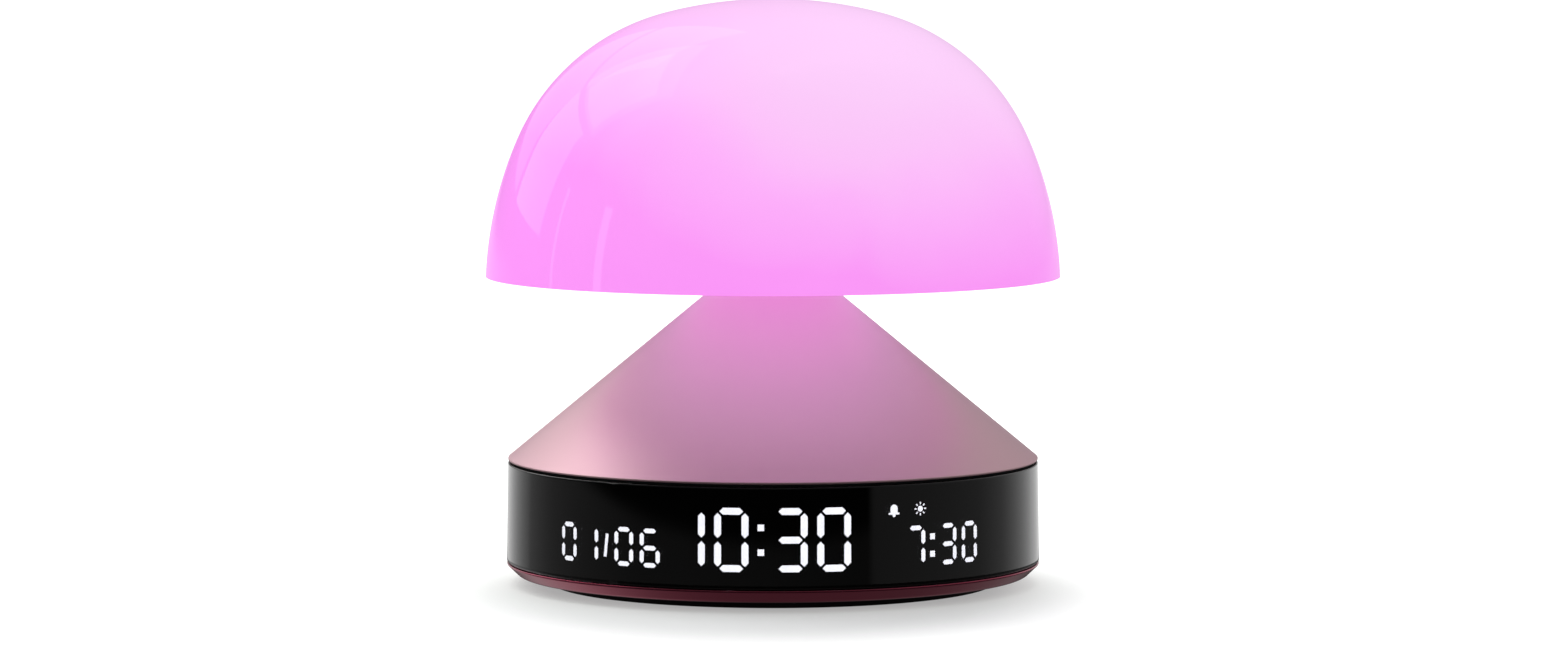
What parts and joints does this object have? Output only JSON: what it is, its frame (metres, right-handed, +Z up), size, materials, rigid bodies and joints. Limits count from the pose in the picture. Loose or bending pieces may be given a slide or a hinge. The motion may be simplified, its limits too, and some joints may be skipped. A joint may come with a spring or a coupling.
{
  "type": "sunrise alarm clock",
  "caption": "Bedside sunrise alarm clock: glowing press-down dome lamp on an aluminium cone, over a drum with a curved seven-segment display band.",
  "frame": {"origin": "on the floor, under the middle of the foot", "axes": "+Z up along the axis of the clock; the display faces -Y; the buttons and the power inlet face +Y; +X is to the right of someone who reads the display"},
  "size_m": [0.1316, 0.1316, 0.134],
  "materials": {
    "foot_rubber": "matt black rubber",
    "base_plastic": "moulded black ABS, fine spark texture",
    "chassis_plastic": "moulded black ABS",
    "screw_steel": "zinc-plated steel",
    "pink_aluminium": "bead-blasted and anodised satin pink",
    "smoked_plastic": "polished smoked polycarbonate",
    "mask_plastic": "opaque matt black",
    "lit_diffuser": "milky acrylic, lit white from behind",
    "dark_diffuser": "smoked acrylic, unlit",
    "flex_film": "polyimide film with a black solder mask",
    "circuit_board": "glass-fibre board with green solder mask",
    "board_component": "moulded epoxy packages and connector",
    "battery_wrap": "aluminium-laminate pouch",
    "strap_steel": "pressed spring steel",
    "speaker_steel": "black painted steel basket",
    "speaker_paper": "pressed black paper",
    "speaker_ferrite": "ferrite magnet",
    "gasket_foam": "closed-cell foam gasket",
    "button_plastic": "black ABS, satin",
    "switch_plastic": "black nylon switch housings",
    "inlet_steel": "nickel-plated drawn shell",
    "inlet_plastic": "black liquid-crystal polymer",
    "seal_rubber": "black silicone",
    "stem_steel": "turned stainless steel",
    "spring_steel": "spring steel",
    "white_plastic": "moulded white ABS",
    "lamp_board": "aluminium-core board with white solder mask",
    "led_resin": "resin of colour-changing light-emitting diodes",
    "underside_plastic": "frosted translucent polycarbonate",
    "shade_plastic": "opal polycarbonate, lit magenta-pink from inside",
    "cable_rubber": "black jacket"
  },
  "bodies": {
    "clock_body": {"foot_ring": "foot_rubber", "base_plate": "base_plastic", "base_screws": "screw_steel", "trim_ring": "pink_aluminium", "display_band": "smoked_plastic", "segment_mask": "mask_plastic", "time_bars": "lit_diffuser", "date_bars": "lit_diffuser", "alarm_bars": "lit_diffuser", "icon_bars": "lit_diffuser", "unlit_bars": "dark_diffuser", "display_board": "flex_film", "chassis": "chassis_plastic", "main_board": "circuit_board", "board_parts": "board_component", "board_screws": "screw_steel", "battery_cell": "battery_wrap", "battery_strap": "strap_steel", "strap_screws": "screw_steel", "speaker_gasket": "gasket_foam", "speaker_frame": "speaker_steel", "speaker_membrane": "speaker_paper", "speaker_magnet": "speaker_ferrite", "speaker_screws": "screw_steel", "rear_board": "circuit_board", "rear_board_screws": "screw_steel", "rear_switches": "switch_plastic", "inlet_board": "circuit_board", "inlet_shell": "inlet_steel", "inlet_tongue": "inlet_plastic", "inlet_screws": "screw_steel", "seal_ring": "seal_rubber", "cone_shell": "pink_aluminium", "cone_screws": "screw_steel", "neck_stem": "stem_steel", "stem_nut": "stem_steel", "retaining_clip": "spring_steel", "switch_board": "circuit_board", "head_switch": "switch_plastic", "return_spring": "spring_steel", "led_lead": "cable_rubber", "head_cable": "cable_rubber"},
    "lamp_head": {"shade_dome": "shade_plastic", "underside_diffuser": "underside_plastic", "head_hub": "white_plastic", "hub_screws": "screw_steel", "led_carrier": "white_plastic", "carrier_screws": "screw_steel", "led_board": "lamp_board", "led_packages": "led_resin", "head_plunger": "button_plastic"},
    "time_button_body": {"time_button": "button_plastic"},
    "alarm_button_body": {"alarm_button": "button_plastic"},
    "light_button_body": {"light_button": "button_plastic"},
    "minus_button_body": {"minus_button": "button_plastic"},
    "plus_button_body": {"plus_button": "button_plastic"}
  },
  "joints": [
    {"name": "head_press", "type": "slide", "parent": "clock_body", "child": "lamp_head", "axis": [0, 0, -1], "range_m": [0, 0.0008], "stiffness_N_per_m": 4000, "springref_m": -0.001, "deforming": ["return_spring", "led_lead"]},
    {"name": "time_button_press", "type": "slide", "parent": "clock_body", "child": "time_button_body", "axis": [0, -1, 0], "range_m": [0, 0.0005], "stiffness_N_per_m": 800, "springref_m": -0.0005},
    {"name": "alarm_button_press", "type": "slide", "parent": "clock_body", "child": "alarm_button_body", "axis": [0, -1, 0], "range_m": [0, 0.0005], "stiffness_N_per_m": 800, "springref_m": -0.0005},
    {"name": "light_button_press", "type": "slide", "parent": "clock_body", "child": "light_button_body", "axis": [0, -1, 0], "range_m": [0, 0.0005], "stiffness_N_per_m": 800, "springref_m": -0.0005},
    {"name": "minus_button_press", "type": "slide", "parent": "clock_body", "child": "minus_button_body", "axis": [0, -1, 0], "range_m": [0, 0.0005], "stiffness_N_per_m": 800, "springref_m": -0.0005},
    {"name": "plus_button_press", "type": "slide", "parent": "clock_body", "child": "plus_button_body", "axis": [0, -1, 0], "range_m": [0, 0.0005], "stiffness_N_per_m": 800, "springref_m": -0.0005}
  ]
}
